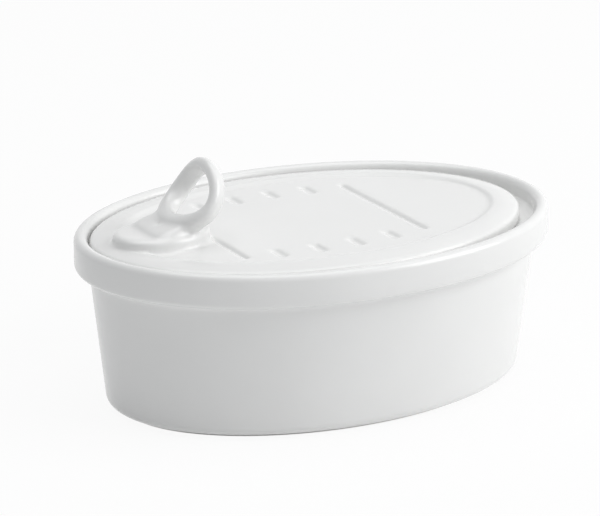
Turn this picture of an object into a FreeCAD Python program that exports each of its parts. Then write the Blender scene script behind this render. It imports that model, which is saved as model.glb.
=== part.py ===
"""Porcelain oval dish in the form of a sardine tin, with its separate lid and ring handle.

Frame: millimetres, +Z up, X along the long axis, origin at the centre of the foot.
The dish is hollow.  The lid lies on a ledge inside the rim and is pushed up against the
rim at its handle end, -X.  Every oval is the rim's outer oval moved in by an offset.
"""
import FreeCAD, Part
import math
import os

V = FreeCAD.Vector

# ---- overall sizes -------------------------------------------------------------------
LENGTH = 160.0            # rim, outside, along X
WIDTH = 113.0             # rim, outside, along Y
HEIGHT = 56.0             # foot to the crest of the rim

# ---- rim and walls -------------------------------------------------------------------
RIM_BAND = 10.7           # height of the thick band that forms the rim
RIM_TOP = 4.3             # width of the rim's top, outer face to lid recess
RIM_OUTER_R = 2.1         # rounding of the crest, outside
RIM_INNER_R = 1.7         # rounding of the crest, inside
RIM_LIP_R = 1.9           # rounding of the band's lower edge
RIM_COVE = 3.2            # height of the hollow curve from the band's lower edge to the wall
RIM_OVERHANG = 4.9        # how far the band stands out from the wall under it
WALL = 5.6                # thickness of the wall
WALL_TAPER = 4.2          # how far the wall draws in from band to base
BASE_R = 3.0              # rounding between wall and base
BASE = 5.2                # thickness of the base, above the foot
INSIDE_R = 7.0            # rounding between inner wall and inner base

# ---- foot ----------------------------------------------------------------------------
FOOT_HEIGHT = 1.2         # foot ring stands this far below the base
FOOT_INSET = 4.1          # from the wall's lowest part to the foot ring
FOOT_WIDTH = 4.0          # width of the ring that touches the table

# ---- lid -----------------------------------------------------------------------------
LID_THICK = 4.6           # plate thickness at the edge
LID_BELOW_RIM = 0.7       # edge of the lid under the crest of the rim
LID_PLAY = 2.8            # gap all round between a centred lid and the recess
LID_TOUCH = 0.3           # gap left at the handle end, where the lid is pushed to
LEDGE_GRIP = 3.5          # overlap of a centred lid on its ledge
LID_EDGE_R = 1.9          # rounding of the lid's upper edge
LID_UNDER_R = 0.9         # rounding of the lid's lower edge

# ---- relief on the lid ---------------------------------------------------------------
SHOULDER_RISE = 0.8       # the border swells up this far above the lid's edge
SHOULDER_WIDTH = 7.4      # from the lid's edge to the top of the swell
SHOULDER_STEPS = 4        # sections in the swell
PANEL_BORDER = 8.6        # from the lid's edge to the sunken panel
PANEL_SLOPE = 1.8         # width of the panel's sloping step
PANEL_DEPTH = 0.8         # depth of the sunken panel under the top of the swell
LINE_HALF_GAP = 31.6      # half the distance between the two cross grooves
LINE_HALF_LENGTH = 26.2   # half the length of a cross groove
LINE_SHIFT = -4.4         # middle of the pattern from the middle of the lid
GROOVE_WIDTH = 2.3
GROOVE_DEPTH = 0.9
DASH_COUNT = 4            # short grooves on each long side, between the cross grooves
DASH_WIDTH = 2.8
DASH_LENGTH = 6.2         # between the centres of a dash's round ends
DASH_REACH = 29.3         # outer ends of the dashes at the ends of the rows
DASH_BOW = 3.4            # the dash rows bow outward by this much in the middle

# ---- pad and handle ------------------------------------------------------------------
PAD_INSET = 21.3          # middle of the pad from the lid's end
PAD_LENGTH = 32.4
PAD_WIDTH = 24.4
PAD_HEIGHT = 2.9          # above the top of the swell
PAD_SLOPE = 1.2           # the pad's side leans in by this much
PAD_EDGE_R = 1.0          # rounding of the pad's upper edge
RING_TILT = 52.0          # degrees, chord of the ring above the table
RING_HEIGHT = 21.4        # middle line of the ring, measured along its chord
RING_HALF_WIDTH = 11.0    # middle line of the ring, half its width
RING_NARROWING = 0.07     # share by which the ring grows narrower at its top
RING_BOW = 3.0            # the ring curls up: its middle hangs this far under the chord
RING_ROOT_R = 3.0         # section across the ring at its root
RING_TOP_R = 2.2          # section across the ring at its top
RING_DEEP_R = 3.1         # section through the ring
RING_FOOT_X = 3.2         # root of the ring, from the middle of the pad
RING_FOOT_Z = 2.1         # root of the ring above the pad
RING_SECTIONS = 9         # sections in each half of the ring
TONGUE_LENGTH = 13.0      # flat tongue that the ring grows out of
TONGUE_WIDTH = 20.0
TONGUE_CORNER_R = 5.0     # rounding of the tongue, seen from above
TONGUE_EDGE_R = 1.6       # rounding of its upper edge
TONGUE_TILT = 19.0        # degrees, rising toward the ring
TONGUE_RISE = 2.7         # middle of the tongue above the pad
TONGUE_X = -0.6           # middle of the tongue from the middle of the pad
DIMPLE_WIDTH = 3.4        # small dimple in the middle of the tongue
DIMPLE_DEPTH = 0.7

OVAL_POINTS = 48          # points that a rounded section is drawn through
ARC_STEPS = 5             # sections in each rounding

HALF_L = LENGTH / 2
HALF_W = WIDTH / 2


def oval(offset, z, shift=0.0):
    """Closed wire: the rim's outer oval moved out by offset, at height z, moved along X."""
    points = []
    for i in range(OVAL_POINTS):
        t = 2 * math.pi * i / OVAL_POINTS
        c, s = math.cos(t), math.sin(t)
        nx, ny = c / HALF_L, s / HALF_W
        n = math.hypot(nx, ny)
        points.append(V(HALF_L * c + offset * nx / n + shift, HALF_W * s + offset * ny / n, z))
    curve = Part.BSplineCurve()
    curve.interpolate(Points=points, PeriodicFlag=True)
    return Part.Wire([curve.toShape()])


def stack(profile, shift=0.0):
    """Solid through ovals, one for each (offset, height) of the profile."""
    return Part.makeLoft([oval(o, z, shift) for o, z in profile], True, True)


def arc(centre_o, centre_z, radius, start, end):
    """(offset, height) points on a rounding, angles in degrees from outward, up."""
    points = []
    for i in range(ARC_STEPS + 1):
        a = math.radians(start + (end - start) * i / ARC_STEPS)
        points.append((centre_o + radius * math.cos(a), centre_z + radius * math.sin(a)))
    return points


def capsule(start, end, radius):
    """Round bar with round ends."""
    axis = end - start
    bar = Part.makeCylinder(radius, axis.Length, start, axis)
    return bar.fuse([Part.makeSphere(radius, start), Part.makeSphere(radius, end)])


# ---- heights and offsets that follow from the sizes above ---------------------------
band_bottom = HEIGHT - RIM_BAND
wall_top_o = -RIM_OVERHANG
wall_low_o = wall_top_o - WALL_TAPER
wall_low_z = FOOT_HEIGHT + BASE_R
foot_o = wall_low_o - FOOT_INSET
recess_o = -RIM_TOP
lid_o = recess_o - LID_PLAY
ledge_o = lid_o - LEDGE_GRIP
lid_edge_z = HEIGHT - LID_BELOW_RIM
ledge_z = lid_edge_z - LID_THICK
swell_z = lid_edge_z + SHOULDER_RISE
panel_z = swell_z - PANEL_DEPTH
lid_shift = -(LID_PLAY - LID_TOUCH)
inside_z = FOOT_HEIGHT + BASE
inside_low_o = wall_low_o - WALL + 0.6 * WALL_TAPER * (INSIDE_R / HEIGHT)


def cove():
    """(offset, height) points on the hollow curve between wall and band."""
    points = []
    for i in range(ARC_STEPS):
        a = math.radians(90 * i / ARC_STEPS)
        points.append((wall_top_o + (RIM_OVERHANG - RIM_LIP_R) * (1 - math.cos(a)),
                       band_bottom - RIM_COVE * (1 - math.sin(a))))
    return points


def make_dish():
    """Hollow oval dish with a thick rim band, a ledge for the lid and a foot ring."""
    outer = [(foot_o, 0.0), (foot_o, FOOT_HEIGHT)]
    outer += arc(wall_low_o - BASE_R, wall_low_z, BASE_R, -90, 0)
    outer += cove()
    outer += arc(-RIM_LIP_R, band_bottom + RIM_LIP_R, RIM_LIP_R, -90, 0)
    outer += arc(-RIM_OUTER_R, HEIGHT - RIM_OUTER_R, RIM_OUTER_R, 0, 90)
    body = stack(outer)

    hollow = arc(inside_low_o - INSIDE_R, inside_z + INSIDE_R, INSIDE_R, -90, 0)
    hollow += [(ledge_o, ledge_z)]
    body = body.cut(stack(hollow + [(ledge_o, HEIGHT + 1)]))

    recess = [(recess_o, ledge_z), (recess_o, HEIGHT - RIM_INNER_R)]
    flare = arc(recess_o + RIM_INNER_R, HEIGHT - RIM_INNER_R, RIM_INNER_R, 180, 90)
    recess += flare[1:] + [(flare[-1][0], HEIGHT + 1)]
    body = body.cut(stack(recess))

    under = [(foot_o - FOOT_WIDTH, -1.0), (foot_o - FOOT_WIDTH, FOOT_HEIGHT)]
    return body.cut(stack(under))


def make_plate():
    """Lid plate with a rounded edge, a swelling border and a sunken oval panel."""
    side = arc(lid_o - LID_UNDER_R, ledge_z + LID_UNDER_R, LID_UNDER_R, -90, 0)
    side += arc(lid_o - LID_EDGE_R, lid_edge_z - LID_EDGE_R, LID_EDGE_R, 0, 70)
    start_o, start_z = side[-1]
    for i in range(1, SHOULDER_STEPS + 1):
        u = i / SHOULDER_STEPS
        rise = math.sin(math.radians(90 * u))
        side.append((start_o + (lid_o - SHOULDER_WIDTH - start_o) * u,
                     start_z + (swell_z - start_z) * rise))
    plate = stack(side, lid_shift)
    step = lid_o - PANEL_BORDER
    panel = [(step - PANEL_SLOPE, panel_z), (step - PANEL_SLOPE / 2, (panel_z + swell_z) / 2),
             (step, swell_z), (step, swell_z + 1)]
    return plate.cut(stack(panel, lid_shift))


def cap_radius(width, depth):
    """Radius of a round cutter that leaves a mark of this width and depth."""
    return (width ** 2 / 4 + depth ** 2) / (2 * depth)


def groove(x, y_start, y_end, width):
    """Cutter for one rounded groove along Y in the panel."""
    radius = cap_radius(width, GROOVE_DEPTH)
    z = panel_z - GROOVE_DEPTH + radius
    return capsule(V(x, y_start, z), V(x, y_end, z), radius)


def make_grooves():
    """Two cross grooves and two bowed rows of short dashes between them."""
    middle = lid_shift + LINE_SHIFT
    cutters = []
    for side in (-1, 1):
        x = middle + side * LINE_HALF_GAP
        cutters.append(groove(x, -LINE_HALF_LENGTH, LINE_HALF_LENGTH, GROOVE_WIDTH))
    pitch = 2 * LINE_HALF_GAP / (DASH_COUNT + 1)
    for i in range(DASH_COUNT):
        u = (i + 1) * pitch - LINE_HALF_GAP
        reach = DASH_REACH + DASH_BOW * (1 - (u / LINE_HALF_GAP) ** 2) - DASH_WIDTH / 2
        for side in (-1, 1):
            cutters.append(groove(middle + u, side * (reach - DASH_LENGTH), side * reach, DASH_WIDTH))
    return cutters


def ellipse_wire(x, half_x, half_y, z):
    """Closed elliptical wire, long way along X."""
    curve = Part.Ellipse(V(x, 0, z), half_x, half_y)
    return Part.Wire([curve.toShape()])


pad_x = lid_shift - (HALF_L + lid_o) + PAD_INSET
pad_top = swell_z + PAD_HEIGHT


def make_pad():
    """Raised oval pad under the handle."""
    low = ellipse_wire(pad_x, PAD_LENGTH / 2, PAD_WIDTH / 2, panel_z - 1.0)
    high = ellipse_wire(pad_x, PAD_LENGTH / 2 - PAD_SLOPE, PAD_WIDTH / 2 - PAD_SLOPE, pad_top)
    pad = Part.makeLoft([low, high], True, True)
    rim = [e for e in pad.Edges if e.BoundBox.ZMin > pad_top - 0.01]
    return pad.makeFillet(PAD_EDGE_R, rim)


def ring_point(angle):
    """Point on the ring's middle line; -90 degrees is the root and 90 the top."""
    tilt = math.radians(RING_TILT)
    across, up = math.cos(math.radians(angle)), math.sin(math.radians(angle))
    reach = RING_HEIGHT / 2 * (1 + up)
    sag = RING_BOW * (up * up - 1)
    return V(pad_x + RING_FOOT_X + reach * math.cos(tilt) - sag * math.sin(tilt),
             RING_HALF_WIDTH * across * (1 - RING_NARROWING * up),
             pad_top + RING_FOOT_Z + reach * math.sin(tilt) + sag * math.cos(tilt))


def make_half_ring(side):
    """Half of the ring, from root to top, on the side +1 or -1 of the middle."""
    tilt = math.radians(RING_TILT)
    wires = []
    for i in range(RING_SECTIONS):
        angle = -90 + 180 * i / (RING_SECTIONS - 1)
        curl = 2 * RING_BOW * math.sin(math.radians(angle)) / (RING_HEIGHT / 2)
        through = V(-math.sin(tilt + math.atan(curl)), 0, math.cos(tilt + math.atan(curl)))
        way = (ring_point(angle + 0.5) - ring_point(angle - 0.5)).normalize()
        across = way.cross(through).normalize()
        through = across.cross(way).normalize()
        share = (1 + math.sin(math.radians(angle))) / 2
        radius = RING_ROOT_R + (RING_TOP_R - RING_ROOT_R) * share
        centre = ring_point(angle)
        for vector in (centre, across, through):
            vector.y *= side
        section = Part.Ellipse(centre + through * RING_DEEP_R, centre + across * radius, centre)
        wires.append(Part.Wire([section.toShape()]))
    return Part.makeLoft(wires, True, False)


def make_ring():
    """Closed ring that curls up and over the middle of the lid."""
    return make_half_ring(1).fuse(make_half_ring(-1))


def make_tongue():
    """Rounded block on the pad, rising toward the ring that grows out of it."""
    deep = TONGUE_RISE + PAD_SLOPE
    block = Part.makeBox(TONGUE_LENGTH, TONGUE_WIDTH, deep,
                         V(-TONGUE_LENGTH / 2, -TONGUE_WIDTH / 2, -deep))
    corners = [e for e in block.Edges if e.BoundBox.ZLength > deep / 2]
    block = block.makeFillet(TONGUE_CORNER_R, corners)
    rim = [e for e in block.Edges if e.BoundBox.ZMin > -0.01]
    block = block.makeFillet(TONGUE_EDGE_R, rim)
    radius = cap_radius(DIMPLE_WIDTH, DIMPLE_DEPTH)
    block = block.cut(Part.makeSphere(radius, V(0, 0, radius - DIMPLE_DEPTH)))
    block.rotate(V(0, 0, 0), V(0, 1, 0), -TONGUE_TILT)
    block.translate(V(pad_x + TONGUE_X, 0, pad_top + TONGUE_RISE))
    return block


def make_lid():
    """Lid plate, its relief, the pad and the ring handle, as one piece."""
    lid = make_plate().cut(make_grooves())
    return lid.fuse(make_pad()).fuse(make_tongue()).fuse(make_ring())


def export(shape, name):
    """Write one solid to parts/NAME.step."""
    solids = shape.Solids
    if len(solids) != 1 or not shape.isValid():
        raise ValueError(f"{name}: {len(solids)} solids, valid {shape.isValid()}")
    solids[0].exportStep(f"parts/{name}.step")
    print(name, "volume cm3", round(solids[0].Volume / 1000, 2))


os.makedirs("parts", exist_ok=True)
export(make_dish(), "dish")
export(make_lid(), "lid")
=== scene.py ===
"""Glazed porcelain dish in the form of an oval sardine tin, with a lid and a ring handle.

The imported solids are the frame.  Two pieces are modelled over them: the dish and the lid,
each one glazed body with soft glaze over its edges.  Units are metres, +Z is up and X runs
along the long axis.
"""
import logging
import math
from dataclasses import dataclass, field
from enum import Enum
from typing import Callable, Iterable, Optional

import bmesh
import bpy
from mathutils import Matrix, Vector


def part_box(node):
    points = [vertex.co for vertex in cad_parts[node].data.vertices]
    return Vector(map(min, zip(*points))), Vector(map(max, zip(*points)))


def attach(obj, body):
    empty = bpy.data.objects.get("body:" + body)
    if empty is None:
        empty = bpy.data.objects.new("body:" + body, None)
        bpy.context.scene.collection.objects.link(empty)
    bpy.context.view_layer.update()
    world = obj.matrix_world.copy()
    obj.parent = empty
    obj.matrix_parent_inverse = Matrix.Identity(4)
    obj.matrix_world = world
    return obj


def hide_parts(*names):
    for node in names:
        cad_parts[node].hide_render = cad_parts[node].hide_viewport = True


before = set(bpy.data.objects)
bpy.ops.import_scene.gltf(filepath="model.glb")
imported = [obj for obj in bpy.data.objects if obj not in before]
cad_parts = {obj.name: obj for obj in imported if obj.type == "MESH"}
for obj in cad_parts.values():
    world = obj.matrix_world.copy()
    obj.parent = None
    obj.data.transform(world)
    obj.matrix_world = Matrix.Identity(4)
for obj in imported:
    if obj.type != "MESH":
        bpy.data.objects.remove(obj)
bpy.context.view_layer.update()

MM = 0.001
HUB = 2.0 * MM
TINY = 0.01 * MM
TORUS_BAR = 0.25
GLASS_IOR = 1.5
LOG = logging.getLogger("dish")

# How far outside the driving oval a point of the section lies, and how high.
Station = tuple[float, float]


class Join(Enum):
    """How one closed body is joined to another."""

    UNITE = "UNION"
    CUT = "DIFFERENCE"


# ---- small helpers on Blender's operators --------------------------------------------

def linear(hex_colour: str) -> tuple[float, float, float, float]:
    """Turn an sRGB hex colour into linear RGBA.

    Args:
        hex_colour: Six hex digits, with or without a leading #.

    Returns:
        The linear red, green, blue and an alpha of one.
    """
    digits = hex_colour.lstrip("#")
    channels = []
    for start in (0, 2, 4):
        value = int(digits[start:start + 2], 16) / 255
        channels.append(value / 12.92 if value <= 0.04045 else ((value + 0.055) / 1.055) ** 2.4)
    return channels[0], channels[1], channels[2], 1.0


def deselect_all() -> None:
    """Leave edit mode and deselect every object."""
    if bpy.context.object and bpy.context.object.mode != "OBJECT":
        bpy.ops.object.mode_set(mode="OBJECT")
    bpy.ops.object.select_all(action="DESELECT")


def activate(piece: bpy.types.Object) -> None:
    """Select one object alone and make it the active one.

    Args:
        piece: The object to work on.
    """
    deselect_all()
    piece.select_set(True)
    bpy.context.view_layer.objects.active = piece


def place_in_mesh(piece: bpy.types.Object) -> None:
    """Move the object's place, turn and size into its mesh.

    Args:
        piece: The finished object.
    """
    activate(piece)
    bpy.ops.object.transform_apply(location=True, rotation=True, scale=True)


def turn_faces_out(piece: bpy.types.Object) -> None:
    """Let every face of a closed body face outward.

    Args:
        piece: The body.
    """
    activate(piece)
    bpy.ops.object.mode_set(mode="EDIT")
    bpy.ops.mesh.select_all(action="SELECT")
    bpy.ops.mesh.normals_make_consistent(inside=False)
    bpy.ops.object.mode_set(mode="OBJECT")


def select_vertices(piece: bpy.types.Object, test: Callable[[Vector], bool]) -> None:
    """In edit mode, select the vertices whose place passes a test.

    Args:
        piece: The object that is being edited.
        test: Takes a vertex's place and says whether it is wanted.
    """
    bpy.ops.mesh.select_all(action="DESELECT")
    mesh = bmesh.from_edit_mesh(piece.data)
    for vertex in mesh.verts:
        if test(vertex.co):
            vertex.select_set(True)
    mesh.select_flush(True)
    bmesh.update_edit_mesh(piece.data)


def select_edges(piece: bpy.types.Object, test: Callable[[Vector, Vector], bool]) -> None:
    """In edit mode, select the edges whose two ends pass a test.

    Args:
        piece: The object that is being edited.
        test: Takes the places of an edge's two ends and says whether it is wanted.
    """
    bpy.ops.mesh.select_mode(type="EDGE")
    bpy.ops.mesh.select_all(action="DESELECT")
    mesh = bmesh.from_edit_mesh(piece.data)
    for edge in mesh.edges:
        edge.select_set(test(edge.verts[0].co, edge.verts[1].co))
    bmesh.update_edit_mesh(piece.data)


def cap_radius(width: float, depth: float) -> float:
    """Radius of a round body that cuts a mark of a given width and depth.

    Args:
        width: Width of the mark.
        depth: Its depth.

    Returns:
        The radius.
    """
    return (width ** 2 / 4 + depth ** 2) / (2 * depth)


def add_modifier(piece: bpy.types.Object, kind: str, **settings: object) -> None:
    """Add a modifier to an object and apply it.

    Args:
        piece: The object to change.
        kind: Blender's name for the modifier.
        **settings: Values for the modifier's own fields.
    """
    activate(piece)
    modifier = piece.modifiers.new(kind.title(), kind)
    for key, value in settings.items():
        setattr(modifier, key, value)
    bpy.ops.object.modifier_apply(modifier=modifier.name)


def join_solids(piece: bpy.types.Object, other: bpy.types.Object, how: Join) -> None:
    """Unite or cut one closed body with another, and delete the other.

    Args:
        piece: The body that stays.
        other: The body that is joined to it or cut out of it.
        how: Whether the other is added or cut out.
    """
    add_modifier(piece, "BOOLEAN", operation=how.value, solver="EXACT", object=other)
    bpy.data.objects.remove(other, do_unlink=True)


def shade_soft(piece: bpy.types.Object, angle: float) -> None:
    """Shade smooth wherever faces meet at less than an angle.

    Args:
        piece: The object to shade.
        angle: Degrees.
    """
    activate(piece)
    bpy.ops.object.shade_smooth_by_angle(angle=math.radians(angle))


def arc(out: float, height: float, radius: float, start: float, end: float,
        steps: int = 8) -> list[Station]:
    """Stations on a rounding in the section of a skin.

    Args:
        out: How far the rounding's centre is outside the driving oval.
        height: Height of the centre.
        radius: Radius of the rounding.
        start: First angle in degrees, from outward toward up.
        end: Last angle in degrees.
        steps: Number of parts the rounding is drawn in.

    Returns:
        The stations from start to end.
    """
    stations = []
    for i in range(steps + 1):
        angle = math.radians(start + (end - start) * i / steps)
        stations.append((out + radius * math.cos(angle), height + radius * math.sin(angle)))
    return stations


# ---- finishes ------------------------------------------------------------------------

def add_node(tree: bpy.types.NodeTree, kind: str, settings: Optional[dict] = None,
             links: Optional[dict] = None, **values: object) -> bpy.types.Node:
    """Add one shader node with its settings, socket values and links.

    Args:
        tree: The material's node tree.
        kind: Blender's node type.
        settings: Fields of the node itself.
        links: Input socket name or index to the output socket that feeds it.
        **values: Input socket names, with _ for a space, and their values.

    Returns:
        The new node.
    """
    node = tree.nodes.new(kind)
    for key, value in (settings or {}).items():
        setattr(node, key, value)
    for key, value in values.items():
        node.inputs[key.replace("_", " ")].default_value = value
    for key, source in (links or {}).items():
        tree.links.new(source, node.inputs[key])
    return node


def add_tone(tree: bpy.types.NodeTree, share: bpy.types.NodeSocket, first: str,
             second: str) -> bpy.types.NodeSocket:
    """Mix two colours.

    Args:
        tree: The material's node tree.
        share: Output socket that gives the second colour's share.
        first: The first colour, as hex.
        second: The second colour, as hex.

    Returns:
        The output socket with the mixed colour.
    """
    tone = add_node(tree, "ShaderNodeMix", {"data_type": "RGBA"}, {0: share})
    tone.inputs[6].default_value = linear(first)
    tone.inputs[7].default_value = linear(second)
    return tone.outputs[2]


def new_material(name: str) -> tuple[bpy.types.Material, bpy.types.NodeTree]:
    """Make an empty node material.

    Args:
        name: The material's name.

    Returns:
        The material and its node tree.
    """
    material = bpy.data.materials.new(name)
    material.use_nodes = True
    material.node_tree.nodes.clear()
    return material, material.node_tree


@dataclass(frozen=True)
class GlazedPorcelain:
    """Hard porcelain, slip cast and dipped in clear glaze, then fired glossy.

    To the eye it is a dense neutral white with a thin wet-looking coat.  The glaze runs a
    little, so its thickness and tone drift over centimetres, and its surface has a very
    shallow orange peel that breaks up highlights.
    """

    body: str = "F1F1F0"
    pooled: str = "ECECEB"
    roughness: float = 0.22
    gloss_change: float = 0.15
    wetness: float = 0.12
    drift: float = 24.0 * MM
    peel: float = 3.0 * MM
    peel_depth: float = 0.03 * MM

    def build(self) -> bpy.types.Material:
        """Return the material."""
        material, tree = new_material("glazed_porcelain")
        place = add_node(tree, "ShaderNodeTexCoord").outputs["Object"]
        drift = add_node(tree, "ShaderNodeTexNoise", links={"Vector": place},
                         Scale=1 / self.drift, Detail=2.0, Roughness=0.5)
        tone = add_tone(tree, drift.outputs["Fac"], self.body, self.pooled)
        gloss = add_node(tree, "ShaderNodeMapRange", links={"Value": drift.outputs["Fac"]},
                         To_Min=self.roughness * (1 - self.gloss_change),
                         To_Max=self.roughness * (1 + self.gloss_change))
        peel = add_node(tree, "ShaderNodeTexNoise", links={"Vector": place},
                        Scale=1 / self.peel, Detail=1.0, Roughness=0.4)
        bump = add_node(tree, "ShaderNodeBump", links={"Height": peel.outputs["Fac"]},
                        Strength=0.5, Distance=self.peel_depth)
        shader = add_node(tree, "ShaderNodeBsdfPrincipled",
                          links={"Base Color": tone,
                                 "Roughness": gloss.outputs["Result"],
                                 "Normal": bump.outputs["Normal"]},
                          IOR=GLASS_IOR, Coat_Weight=self.wetness, Coat_Roughness=0.1,
                          Coat_IOR=GLASS_IOR)
        add_node(tree, "ShaderNodeOutputMaterial", links={"Surface": shader.outputs["BSDF"]})
        return material


@dataclass(frozen=True)
class BisquePorcelain:
    """Bare fired porcelain where the glaze was wiped off so that the foot would not stick.

    It is matt, a little warmer and greyer than the glaze, with a fine sandy grain.
    """

    light: str = "E9E7E1"
    dark: str = "DAD7CF"
    roughness: float = 0.72
    grain: float = 0.6 * MM
    grain_depth: float = 0.03 * MM

    def build(self) -> bpy.types.Material:
        """Return the material."""
        material, tree = new_material("bisque_porcelain")
        place = add_node(tree, "ShaderNodeTexCoord").outputs["Object"]
        grain = add_node(tree, "ShaderNodeTexNoise", links={"Vector": place},
                         Scale=1 / self.grain, Detail=3.0, Roughness=0.6)
        tone = add_tone(tree, grain.outputs["Fac"], self.light, self.dark)
        bump = add_node(tree, "ShaderNodeBump", links={"Height": grain.outputs["Fac"]},
                        Strength=0.6, Distance=self.grain_depth)
        shader = add_node(tree, "ShaderNodeBsdfPrincipled",
                          links={"Base Color": tone,
                                 "Normal": bump.outputs["Normal"]},
                          Roughness=self.roughness, IOR=GLASS_IOR)
        add_node(tree, "ShaderNodeOutputMaterial", links={"Surface": shader.outputs["BSDF"]})
        return material


def rays_to_white(tree: bpy.types.NodeTree) -> bpy.types.NodeSocket:
    """Tell the rays that show the ground as white from those that light the dish.

    Args:
        tree: Node tree of the floor's material or of the world.

    Returns:
        The output socket that is 1 for the former and 0 for the latter.
    """
    rays = add_node(tree, "ShaderNodeLightPath")
    seen = add_node(tree, "ShaderNodeMath", {"operation": "MAXIMUM"},
                    {0: rays.outputs["Is Camera Ray"], 1: rays.outputs["Is Glossy Ray"]})
    through = add_node(tree, "ShaderNodeMath", {"operation": "MAXIMUM"},
                       {0: seen.outputs[0], 1: rays.outputs["Is Transmission Ray"]})
    return through.outputs[0]


@dataclass(frozen=True)
class PlainPaper:
    """Seamless pale paper under and behind the dish, which shows as white to the camera."""

    colour: str = "F4F4F4"
    glow: float = 0.92

    def build(self) -> bpy.types.Material:
        """Return the material."""
        material, tree = new_material("plain_paper")
        share = add_node(tree, "ShaderNodeMath", {"operation": "MULTIPLY"},
                         {0: rays_to_white(tree)})
        share.inputs[1].default_value = self.glow
        paper = add_node(tree, "ShaderNodeBsdfDiffuse", Color=linear(self.colour))
        white = add_node(tree, "ShaderNodeEmission", Strength=1.0)
        mix = add_node(tree, "ShaderNodeMixShader",
                       links={0: share.outputs[0], 1: paper.outputs[0], 2: white.outputs[0]})
        add_node(tree, "ShaderNodeOutputMaterial", links={"Surface": mix.outputs[0]})
        return material


# ---- skins of ovals ------------------------------------------------------------------

@dataclass
class OvalSkin:
    """A skin drawn through ovals that all follow one driving oval, moved in or out."""

    half_length: float
    half_width: float
    shift: float = 0.0
    around: int = 160

    def build(self, name: str, stations: list[Station]) -> bpy.types.Object:
        """Draw the skin from its first station to its last, and close both ends.

        Args:
            name: Name of the new object.
            stations: How far out and how high each oval lies.

        Returns:
            The new object.
        """
        deselect_all()
        out, height = stations[0]
        bpy.ops.mesh.primitive_circle_add(vertices=self.around, radius=1.0, fill_type="NOTHING",
                                          location=(self.shift, 0.0, height))
        skin = bpy.context.object
        skin.name = name
        bpy.ops.object.mode_set(mode="EDIT")
        bpy.ops.mesh.select_all(action="SELECT")
        self.widen(1.0, 1.0, out, height)
        bpy.ops.mesh.edge_face_add()
        for (old_out, old_height), (out, height) in zip(stations, stations[1:]):
            bpy.ops.mesh.extrude_edges_move(
                TRANSFORM_OT_translate={"value": (0.0, 0.0, height - old_height)})
            self.widen(self.half_length + old_out, self.half_width + old_out, out, height)
        bpy.ops.mesh.edge_face_add()
        bpy.ops.object.mode_set(mode="OBJECT")
        turn_faces_out(skin)
        place_in_mesh(skin)
        return skin

    def widen(self, old_length: float, old_width: float, out: float, height: float) -> None:
        """Resize the selected oval to lie a given distance outside the driving oval.

        Args:
            old_length: Half length of the oval as it is.
            old_width: Half width of the oval as it is.
            out: How far out it goes.
            height: Height of the oval.
        """
        bpy.ops.transform.resize(value=((self.half_length + out) / old_length,
                                        (self.half_width + out) / old_width, 1.0),
                                 center_override=(self.shift, 0.0, height))


# ---- the dish ------------------------------------------------------------------------

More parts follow.
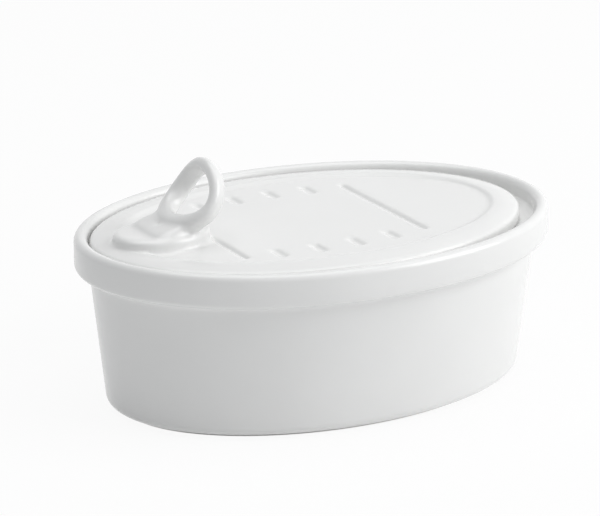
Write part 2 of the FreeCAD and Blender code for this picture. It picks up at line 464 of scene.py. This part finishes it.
@dataclass
class Dish:
    """Hollow oval dish with a thick rim band, a ledge for the lid and a foot ring."""

    half_length: float
    half_width: float
    height: float
    band: float = 10.7 * MM
    rim_top: float = 4.3 * MM
    crest_outer: float = 2.1 * MM
    crest_inner: float = 2.1 * MM
    lip: float = 1.9 * MM
    cove: float = 3.2 * MM
    overhang: float = 4.9 * MM
    wall: float = 5.6 * MM
    taper: float = 4.2 * MM
    base_round: float = 3.0 * MM
    base: float = 5.2 * MM
    inside_round: float = 7.0 * MM
    foot_height: float = 1.2 * MM
    foot_inset: float = 4.1 * MM
    foot_width: float = 4.0 * MM
    foot_round: float = 0.5 * MM
    bare_height: float = 0.25 * MM
    lid_seat: float = 50.7 * MM
    seat_corner: float = 0.6 * MM
    ledge_out: float = -10.6 * MM
    ledge_round: float = 0.8 * MM
    shading: float = 40.0

    def outside(self) -> list[Station]:
        """Stations from the middle of the underside, over the foot and wall, to the crest."""
        band_low = self.height - self.band
        top_out = -self.overhang
        low_out = top_out - self.taper
        foot_out = low_out - self.foot_inset
        inner_foot = foot_out - self.foot_width
        small = self.foot_round
        stations = [(-self.half_width + HUB, self.foot_height),
                    (inner_foot - small, self.foot_height)]
        stations += arc(inner_foot - small, self.foot_height - small, small, 90, 0, 3)
        stations += arc(inner_foot + small, small, small, 180, 270, 4)
        stations += arc(foot_out - small, small, small, -90, 0, 4)
        stations += arc(foot_out + small, self.foot_height - small, small, 180, 90, 3)
        stations += arc(low_out - self.base_round, self.foot_height + self.base_round,
                        self.base_round, -90, -5, 8)
        stations += self.up_the_wall(low_out, self.foot_height + self.base_round, top_out,
                                     band_low - self.cove)
        steps = 9
        for i in range(1, steps):
            angle = math.radians(90 * i / steps)
            stations.append((top_out + (self.overhang - self.lip) * (1 - math.cos(angle)),
                             band_low - self.cove * (1 - math.sin(angle))))
        stations += arc(-self.lip, band_low + self.lip, self.lip, -90, 0, 7)
        stations += arc(-self.crest_outer, self.height - self.crest_outer,
                        self.crest_outer, 0, 90, 8)
        return stations

    @staticmethod
    def up_the_wall(out: float, height: float, top_out: float,
                    top_height: float) -> list[Station]:
        """Stations on the straight drawn wall.

        Args:
            out: Start of the wall, outward.
            height: Start of the wall, upward.
            top_out: End of the wall, outward.
            top_height: End of the wall, upward.

        Returns:
            The stations.
        """
        steps = 6
        return [(out + (top_out - out) * i / steps, height + (top_height - height) * i / steps)
                for i in range(steps + 1)]

    def inside(self) -> list[Station]:
        """Stations from the crest, down the recess, over the ledge and down to the floor."""
        recess = -self.rim_top
        floor = self.foot_height + self.base
        low_out = -self.overhang - self.taper - self.wall
        stations = arc(recess + self.crest_inner, self.height - self.crest_inner,
                       self.crest_inner, 90, 180, 7)
        stations += arc(recess - self.seat_corner, self.lid_seat + self.seat_corner,
                        self.seat_corner, 0, -90, 4)
        stations += arc(self.ledge_out + self.ledge_round, self.lid_seat - self.ledge_round,
                        self.ledge_round, 90, 180, 5)
        stations += arc(low_out - self.inside_round, floor + self.inside_round,
                        self.inside_round, 0, -90, 10)
        stations.append((-self.half_width + HUB, floor))
        return stations

    def build(self, glaze: bpy.types.Material, bisque: bpy.types.Material) -> bpy.types.Object:
        """Model the dish and give it its finishes.

        Args:
            glaze: Finish of all but the foot ring.
            bisque: Finish of the foot ring's underside.

        Returns:
            The finished dish.
        """
        skin = OvalSkin(self.half_length, self.half_width)
        dish = skin.build("dish_body", self.outside() + self.inside())
        activate(dish)
        bpy.ops.object.mode_set(mode="EDIT")
        bpy.ops.mesh.select_all(action="SELECT")
        bpy.ops.mesh.remove_doubles(threshold=TINY)
        bpy.ops.object.mode_set(mode="OBJECT")
        turn_faces_out(dish)
        dish.data.materials.append(glaze)
        dish.data.materials.append(bisque)
        for face in dish.data.polygons:
            if face.center.z < self.bare_height:
                face.material_index = 1
        shade_soft(dish, self.shading)
        return dish


# ---- the lid -------------------------------------------------------------------------

@dataclass
class Handle:
    """Raised pad and the ring that curls up from it."""

    x: float
    base: float
    top: float
    half_length: float = 16.2 * MM
    half_width: float = 12.2 * MM
    lean: float = 0.5 * MM
    pad_edge: float = 0.8 * MM
    pad_lift: float = 0.3 * MM
    tilt: float = math.radians(52.0)
    height: float = 20.75 * MM
    ring_half_width: float = 11.0 * MM
    narrowing: float = 0.07
    bow: float = 3.0 * MM
    root_radius: float = 3.0 * MM
    waist_radius: float = 2.1 * MM
    top_radius: float = 2.1 * MM
    deep_radius: float = 3.1 * MM
    cupping: float = math.radians(-32.0)
    foot_x: float = 3.2 * MM
    foot_z: float = 2.1 * MM
    around: int = 96
    squareness: float = 0.74
    tongue_size: tuple[float, float, float] = (13.0 * MM, 20.0 * MM, 3.9 * MM)
    tongue_corner: float = 5.0 * MM
    tongue_edge: float = 1.6 * MM
    tongue_tilt: float = math.radians(14.0)
    tongue_rise: float = 2.7 * MM
    tongue_x: float = -0.6 * MM
    dimple_width: float = 3.4 * MM
    dimple_depth: float = 0.7 * MM

    def build_pad(self) -> bpy.types.Object:
        """Return the oval pad, with a rounded upper edge."""
        skin = OvalSkin(self.half_length, self.half_width, self.x, self.around)
        edge = self.pad_edge
        stations = [(0.0, self.base)]
        stations += arc(-self.lean - edge, self.top + self.pad_lift - edge, edge, 10, 90, 6)
        return skin.build("pad", stations)

    def build_tongue(self) -> bpy.types.Object:
        """Return the rounded block that the ring grows out of, with the dimple in its top."""
        deselect_all()
        bpy.ops.mesh.primitive_cube_add(size=1.0)
        tongue = bpy.context.object
        tongue.scale = self.tongue_size
        tongue.location = (0.0, 0.0, -self.tongue_size[2] / 2)
        place_in_mesh(tongue)
        bpy.ops.object.mode_set(mode="EDIT")
        select_edges(tongue, lambda one, two: abs(one.z - two.z) > TINY)
        bpy.ops.mesh.bevel(offset=self.tongue_corner, segments=10, affect="EDGES")
        select_edges(tongue, lambda one, two: min(one.z, two.z) > -TINY)
        bpy.ops.mesh.bevel(offset=self.tongue_edge, segments=6, affect="EDGES")
        bpy.ops.object.mode_set(mode="OBJECT")
        radius = cap_radius(self.dimple_width, self.dimple_depth)
        bpy.ops.mesh.primitive_uv_sphere_add(segments=48, ring_count=32, radius=radius,
                                             location=(0.0, 0.0, radius - self.dimple_depth))
        join_solids(tongue, bpy.context.object, Join.CUT)
        tongue.rotation_euler = (0.0, -self.tongue_tilt, 0.0)
        tongue.location = (self.x + self.tongue_x, 0.0, self.top + self.tongue_rise)
        place_in_mesh(tongue)
        return tongue

    def middle(self, angle: float) -> Vector:
        """Point on the ring's middle line.

        Args:
            angle: Radians round the ring; -90 degrees is its root.

        Returns:
            The point.
        """
        across, up = math.cos(angle), math.sin(angle)
        reach = self.height / 2 * (1 + up)
        sag = self.bow * (up * up - 1)
        lean, rise = math.cos(self.tilt), math.sin(self.tilt)
        return Vector((self.x + self.foot_x + reach * lean - sag * rise,
                       self.ring_half_width * across * (1 - self.narrowing * up),
                       self.top + self.foot_z + reach * rise + sag * lean))

    def build_ring(self) -> bpy.types.Object:
        """Return the ring: a round bar bent to the middle line, thinner toward its top."""
        deselect_all()
        bpy.ops.mesh.primitive_torus_add(major_segments=self.around, minor_segments=24,
                                         major_radius=1.0, minor_radius=TORUS_BAR)
        ring = bpy.context.object
        for vertex in ring.data.vertices:
            x, y, z = vertex.co
            vertex.co = self.on_section(math.atan2(y, x), (math.hypot(x, y) - 1.0) / TORUS_BAR,
                                        z / TORUS_BAR)
        turn_faces_out(ring)
        return ring

    def on_section(self, angle: float, out: float, through: float) -> Vector:
        """Point on the ring's surface.

        Args:
            angle: Radians round the ring.
            out: Share of the section's radius, away from the hole.
            through: Share of the section's radius, along the hole.

        Returns:
            The point.
        """
        curl = math.atan(2 * self.bow * math.sin(angle) / (self.height / 2))
        facing = Vector((-math.sin(self.tilt + curl), 0.0, math.cos(self.tilt + curl)))
        turn = 0.01
        way = (self.middle(angle + turn) - self.middle(angle - turn)).normalized()
        across = way.cross(facing).normalized()
        facing = across.cross(way).normalized()
        out = math.copysign(abs(out) ** self.squareness, out)
        through = math.copysign(abs(through) ** self.squareness, through)
        share = (1 + math.sin(angle)) / 2
        dip = self.waist_radius - (self.root_radius + self.top_radius) / 2
        radius = (self.root_radius + (self.top_radius - self.root_radius) * share
                  + dip * 4 * share * (1 - share))
        cup = self.cupping * math.sin(math.pi / 2 * min(1.0, 2 * share))
        out, through = out * radius, through * self.deep_radius
        return (self.middle(angle) + across * (out * math.cos(cup) + through * math.sin(cup))
                + facing * (through * math.cos(cup) - out * math.sin(cup)))


@dataclass
class Lid:
    """Lid plate with a swelling border, a sunken panel, shallow grooves and the handle."""

    half_length: float
    half_width: float
    shift: float
    under: float
    thickness: float = 4.6 * MM
    under_round: float = 0.9 * MM
    edge_round: float = 1.9 * MM
    swell_rise: float = 0.8 * MM
    swell_width: float = 7.4 * MM
    border: float = 8.6 * MM
    slope: float = 1.8 * MM
    depth: float = 0.8 * MM
    pattern_shift: float = -4.4 * MM
    half_gap: float = 31.6 * MM
    half_line: float = 26.2 * MM
    groove_width: float = 2.3 * MM
    groove_depth: float = 0.9 * MM
    dashes: int = 4
    dash_pitch: float = 13.2 * MM
    dash_shift: float = -0.7 * MM
    dash_width: float = 3.6 * MM
    dash_depth: float = 0.8 * MM
    dash_length: float = 5.0 * MM
    dash_reach: float = 29.2 * MM
    dash_bow: float = 3.4 * MM
    pad_inset: float = 21.3 * MM
    pad_height: float = 2.9 * MM
    pad_root: float = 1.0 * MM
    root_low: float = 1.0 * MM
    root_high: float = 4.6 * MM
    root_reach: float = 13.0 * MM
    fade_low: float = 1.0 * MM
    fade_high: float = 2.0 * MM
    grain: float = 0.55 * MM
    shading: float = 80.0

    @property
    def edge_top(self) -> float:
        """Height of the plate's top at its edge."""
        return self.under + self.thickness

    @property
    def swell(self) -> float:
        """Height of the border's crest."""
        return self.edge_top + self.swell_rise

    @property
    def panel(self) -> float:
        """Height of the sunken panel."""
        return self.swell - self.depth

    def stations(self) -> list[Station]:
        """Stations from the middle of the underside, round the edge, to the panel."""
        steps = 8
        stations = [(-self.half_width + HUB, self.under)]
        stations += arc(-self.under_round, self.under + self.under_round,
                        self.under_round, -90, 0, 5)
        edge = arc(-self.edge_round, self.edge_top - self.edge_round, self.edge_round, 0, 70, 7)
        stations += edge
        start_out, start_height = edge[-1]
        for i in range(1, steps + 1):
            share = i / steps
            rise = math.sin(math.radians(90 * share))
            stations.append((start_out + (-self.swell_width - start_out) * share,
                             start_height + (self.swell - start_height) * rise))
        for i in range(steps + 1):
            share = i / steps
            fall = (1 - math.cos(math.pi * share)) / 2
            stations.append((-self.border - self.slope * share,
                             self.swell - self.depth * fall))
        stations.append((-self.half_width + HUB, self.panel))
        return stations

    def groove(self, x: float, start: float, end: float, width: float,
               depth: float) -> bpy.types.Object:
        """Round-ended bar that cuts one groove along Y.

        Args:
            x: Where the groove lies along the dish.
            start: Y of the first round end's centre.
            end: Y of the last round end's centre.
            width: Width of the groove.
            depth: Depth of the groove.

        Returns:
            The cutting body.
        """
        radius = cap_radius(width, depth)
        deselect_all()
        bpy.ops.mesh.primitive_uv_sphere_add(segments=48, ring_count=24, radius=radius,
                                             rotation=(math.pi / 2, 0.0, 0.0),
                                             location=(x, start, self.panel - depth + radius))
        bar = bpy.context.object
        place_in_mesh(bar)
        bpy.ops.object.mode_set(mode="EDIT")
        select_vertices(bar, lambda place: place.y > start + TINY)
        bpy.ops.transform.translate(value=(0.0, end - start, 0.0))
        bpy.ops.object.mode_set(mode="OBJECT")
        return bar

    def grooves(self) -> Iterable[bpy.types.Object]:
        """Yield a cutting body for each cross groove and each dash."""
        middle = self.shift + self.pattern_shift
        for side in (-1, 1):
            yield self.groove(middle + side * self.half_gap, -self.half_line, self.half_line,
                              self.groove_width, self.groove_depth)
        for i in range(self.dashes):
            along = self.dash_shift + (i - (self.dashes - 1) / 2) * self.dash_pitch
            reach = (self.dash_reach + self.dash_bow * (1 - (along / self.half_gap) ** 2)
                     - self.dash_width / 2)
            for side in (-1, 1):
                near, far = sorted((side * (reach - self.dash_length), side * reach))
                yield self.groove(middle + along, near, far, self.dash_width, self.dash_depth)

    def soften_root(self, lid: bpy.types.Object, handle: Handle) -> None:
        """Let the glaze fill the corners where the ring grows out of the pad.

        Args:
            lid: The lid in one body.
            handle: The handle's sizes.
        """
        soft = lid.vertex_groups.new(name="root")
        low, high = handle.top - self.root_low, handle.top + self.root_high
        for vertex in lid.data.vertices:
            x, _, z = vertex.co
            if low < z < high and x < handle.x + self.root_reach:
                share = min(1.0, (z - low) / self.fade_low, (high - z) / self.fade_high)
                soft.add([vertex.index], share, "REPLACE")
        add_modifier(lid, "SMOOTH", factor=0.5, iterations=30, vertex_group="root")
        lid.vertex_groups.clear()

    def build(self, glaze: bpy.types.Material) -> bpy.types.Object:
        """Model the lid and its handle as one glazed body.

        Args:
            glaze: Finish of the whole lid.

        Returns:
            The finished lid.
        """
        skin = OvalSkin(self.half_length, self.half_width, self.shift)
        lid = skin.build("lid_body", self.stations())
        for bar in self.grooves():
            join_solids(lid, bar, Join.CUT)
        handle = Handle(x=self.shift - self.half_length + self.pad_inset,
                        base=self.panel - self.pad_root, top=self.swell + self.pad_height)
        for part in (handle.build_pad(), handle.build_tongue(), handle.build_ring()):
            join_solids(lid, part, Join.UNITE)
        add_modifier(lid, "REMESH", mode="VOXEL", voxel_size=self.grain, adaptivity=0.0)
        add_modifier(lid, "SMOOTH", factor=0.5, iterations=6)
        self.soften_root(lid, handle)
        lid.data.materials.clear()
        lid.data.materials.append(glaze)
        shade_soft(lid, self.shading)
        return lid


# ---- studio --------------------------------------------------------------------------

@dataclass(frozen=True)
class Lamp:
    """Soft square lamp, with its place, the side of its face and its watts."""

    name: str
    place: tuple[float, float, float]
    size: float
    power: float

    def build(self, target: Vector) -> None:
        """Add the lamp and point it.

        Args:
            target: The point that it lights.
        """
        deselect_all()
        bpy.ops.object.light_add(type="AREA", location=self.place)
        lamp = bpy.context.object
        lamp.name = self.name
        lamp.data.size = self.size
        lamp.data.energy = self.power
        way = target - Vector(self.place)
        lamp.rotation_euler = way.to_track_quat("-Z", "Y").to_euler()


@dataclass
class Studio:
    """Plain floor, soft lights and the camera."""

    azimuth: float = math.radians(-28.7)
    elevation: float = math.radians(18.12)
    distance: float = 1.0
    target: Vector = field(default_factory=lambda: Vector((-6.15 * MM, -1.37 * MM, 42.87 * MM)))
    lens: float = 189.27
    floor_size: float = 8.0
    room: str = "F7F9FB"
    room_strength: float = 0.39
    lamps: tuple[Lamp, ...] = (Lamp("key_right", (0.887, -0.693, 0.69), 0.9, 9.2),
                               Lamp("overhead", (0.10, 0.10, 1.6), 1.3, 9.0))

    def build_floor(self) -> None:
        """Add the floor."""
        deselect_all()
        bpy.ops.mesh.primitive_plane_add(size=self.floor_size, location=(0.0, 0.0, 0.0))
        floor = bpy.context.object
        floor.name = "floor"
        floor.data.materials.append(PlainPaper().build())

    def build_world(self) -> None:
        """Light the room evenly, and show it as white to the camera."""
        world = bpy.data.worlds.new("room")
        bpy.context.scene.world = world
        world.use_nodes = True
        tree = world.node_tree
        tree.nodes.clear()
        dim = add_node(tree, "ShaderNodeBackground", Color=linear(self.room),
                       Strength=self.room_strength)
        white = add_node(tree, "ShaderNodeBackground", Color=(1.0, 1.0, 1.0, 1.0), Strength=1.0)
        mix = add_node(tree, "ShaderNodeMixShader",
                       links={0: rays_to_white(tree), 1: dim.outputs[0], 2: white.outputs[0]})
        add_node(tree, "ShaderNodeOutputWorld", links={"Surface": mix.outputs[0]})

    def build_camera(self) -> None:
        """Add the camera and make it the scene's own."""
        flat = math.cos(self.elevation)
        back = Vector((math.sin(self.azimuth) * flat, -math.cos(self.azimuth) * flat,
                       math.sin(self.elevation)))
        deselect_all()
        bpy.ops.object.camera_add(location=self.target + back * self.distance)
        camera = bpy.context.object
        camera.rotation_euler = (-back).to_track_quat("-Z", "Y").to_euler()
        camera.data.lens = self.lens
        camera.data.sensor_width = 36.0
        camera.data.sensor_fit = "HORIZONTAL"
        camera.data.clip_start = 0.01
        camera.data.clip_end = 20.0
        bpy.context.scene.camera = camera

    def build(self) -> None:
        """Build the whole studio."""
        bpy.context.scene.view_settings.view_transform = "Standard"
        self.build_floor()
        self.build_world()
        for lamp in self.lamps:
            lamp.build(self.target)
        self.build_camera()


# ---- all together --------------------------------------------------------------------

def set_on_frame(piece: bpy.types.Object, node: str) -> None:
    """Let a piece stand for a solid and follow its body.

    Args:
        piece: The finished piece.
        node: Name of the solid.
    """
    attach(piece, "root")
    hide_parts(node)
    LOG.info("%s: %d faces", piece.name, len(piece.data.polygons))


def main() -> None:
    """Build the dish, the lid and the studio."""
    logging.basicConfig(level=logging.INFO, format="%(message)s")
    glaze = GlazedPorcelain().build()
    bisque = BisquePorcelain().build()
    low, high = (Vector(corner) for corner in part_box("dish"))
    dish = Dish(half_length=(high.x - low.x) / 2, half_width=(high.y - low.y) / 2, height=high.z)
    set_on_frame(dish.build(glaze, bisque), "dish")
    low, high = (Vector(corner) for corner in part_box("lid"))
    lid = Lid(half_length=(high.x - low.x) / 2, half_width=(high.y - low.y) / 2,
              shift=(low.x + high.x) / 2, under=low.z)
    set_on_frame(lid.build(glaze), "lid")
    Studio().build()


if __name__ == "__main__":
    main()
